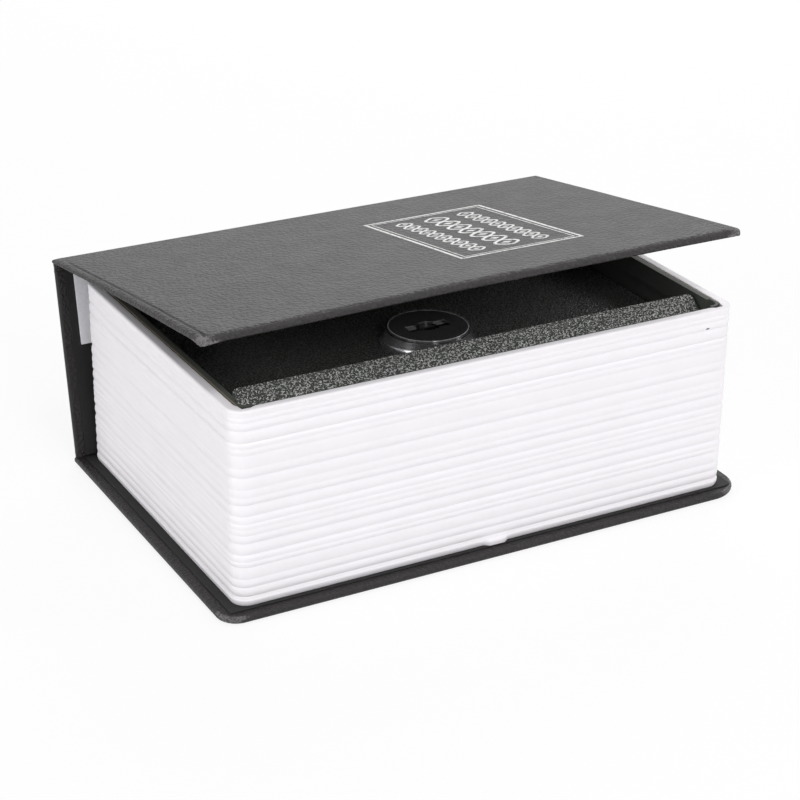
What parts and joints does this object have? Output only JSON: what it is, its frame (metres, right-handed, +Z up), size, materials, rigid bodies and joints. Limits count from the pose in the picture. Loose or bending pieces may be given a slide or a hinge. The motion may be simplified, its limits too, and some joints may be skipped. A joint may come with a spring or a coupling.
{
  "type": "book diversion safe",
  "caption": "Cloth-covered book case whose ribbed white page block hides a steel tray with a hinged, key-locked lid and a folded finger pull.",
  "frame": {"origin": "centre of the back cover's underside, with the book lying on its back cover", "axes": "+X along the spine towards the head, +Y towards the spine, the fore edge faces -Y, +Z up"},
  "size_m": [0.18, 0.1282, 0.086],
  "materials": {
    "cover_cloth": "grey grained bookbinding cloth",
    "greyboard": "plain grey bookbinding board",
    "endpaper": "matt black lining paper",
    "strip_card": "smooth white card",
    "page_plastic": "white moulded plastic, satin",
    "tray_steel": "charcoal wrinkle powder coat",
    "zinc_plate": "bright zinc plate",
    "skirt_metal": "satin smoked nickel",
    "cap_plastic": "gloss black",
    "lock_brass": "plain machined brass"
  },
  "bodies": {
    "back_case": {"back_cloth": "cover_cloth", "back_board": "greyboard", "back_lining": "endpaper", "page_moulding": "page_plastic", "safe_tray": "tray_steel", "tray_rivet_1": "zinc_plate", "tray_rivet_2": "zinc_plate", "tray_rivet_3": "zinc_plate", "tray_rivet_4": "zinc_plate", "lid_rest_tail": "tray_steel", "lid_rest_head": "tray_steel", "strike_plate": "tray_steel", "strike_rivet_1": "zinc_plate", "strike_rivet_2": "zinc_plate", "wall_leaf_tail": "tray_steel", "wall_leaf_head": "tray_steel", "hinge_pin_tail": "zinc_plate", "hinge_pin_head": "zinc_plate", "wall_leaf_rivet_1": "zinc_plate", "wall_leaf_rivet_2": "zinc_plate", "wall_leaf_rivet_3": "zinc_plate", "wall_leaf_rivet_4": "zinc_plate"},
    "lid": {"lid_plate": "tray_steel", "lid_leaf_tail": "tray_steel", "lid_leaf_head": "tray_steel", "lid_leaf_rivet_1": "zinc_plate", "lid_leaf_rivet_2": "zinc_plate", "lid_leaf_rivet_3": "zinc_plate", "lid_leaf_rivet_4": "zinc_plate", "lock_skirt": "skirt_metal", "lock_cap": "cap_plastic", "lock_barrel": "lock_brass", "barrel_nut": "zinc_plate", "lock_case": "tray_steel"},
    "key_core": {"key_core": "lock_brass", "cam_disc": "zinc_plate"},
    "lock_bolt": {"lock_bolt": "zinc_plate"},
    "spine": {"spine_cloth": "cover_cloth", "spine_board": "greyboard", "spine_lining": "endpaper", "spine_strip": "strip_card"},
    "front_cover": {"front_cloth": "cover_cloth", "front_board": "greyboard", "front_lining": "endpaper"}
  },
  "joints": [
    {"name": "spine_hinge", "type": "hinge", "parent": "back_case", "child": "spine", "pos_m": [0, 0.059, 0.003], "axis": [-1, 0, 0], "range_deg": [-9, 81]},
    {"name": "cover_hinge", "type": "hinge", "parent": "spine", "child": "front_cover", "pos_m": [0, 0.06876, 0.06463], "axis": [-1, 0, 0], "range_deg": [0, 90]},
    {"name": "lid_hinge", "type": "hinge", "parent": "back_case", "child": "lid", "pos_m": [0, 0.0494, 0.0549], "axis": [-1, 0, 0], "range_deg": [0, 85.5]},
    {"name": "bolt_slide", "type": "slide", "parent": "lid", "child": "lock_bolt", "axis": [0, -1, 0], "range_m": [0, 0.0042]},
    {"name": "key_turn", "type": "hinge", "parent": "lid", "child": "key_core", "pos_m": [0, -0.013, 0.0525], "axis": [0, 0, -1], "range_deg": [0, 90]}
  ],
  "couplings": [
    {"joint": "lid_hinge", "follows": "cover_hinge", "ratio": 0.95},
    {"joint": "key_turn", "follows": "bolt_slide", "rad_per_m": 373.99}
  ]
}
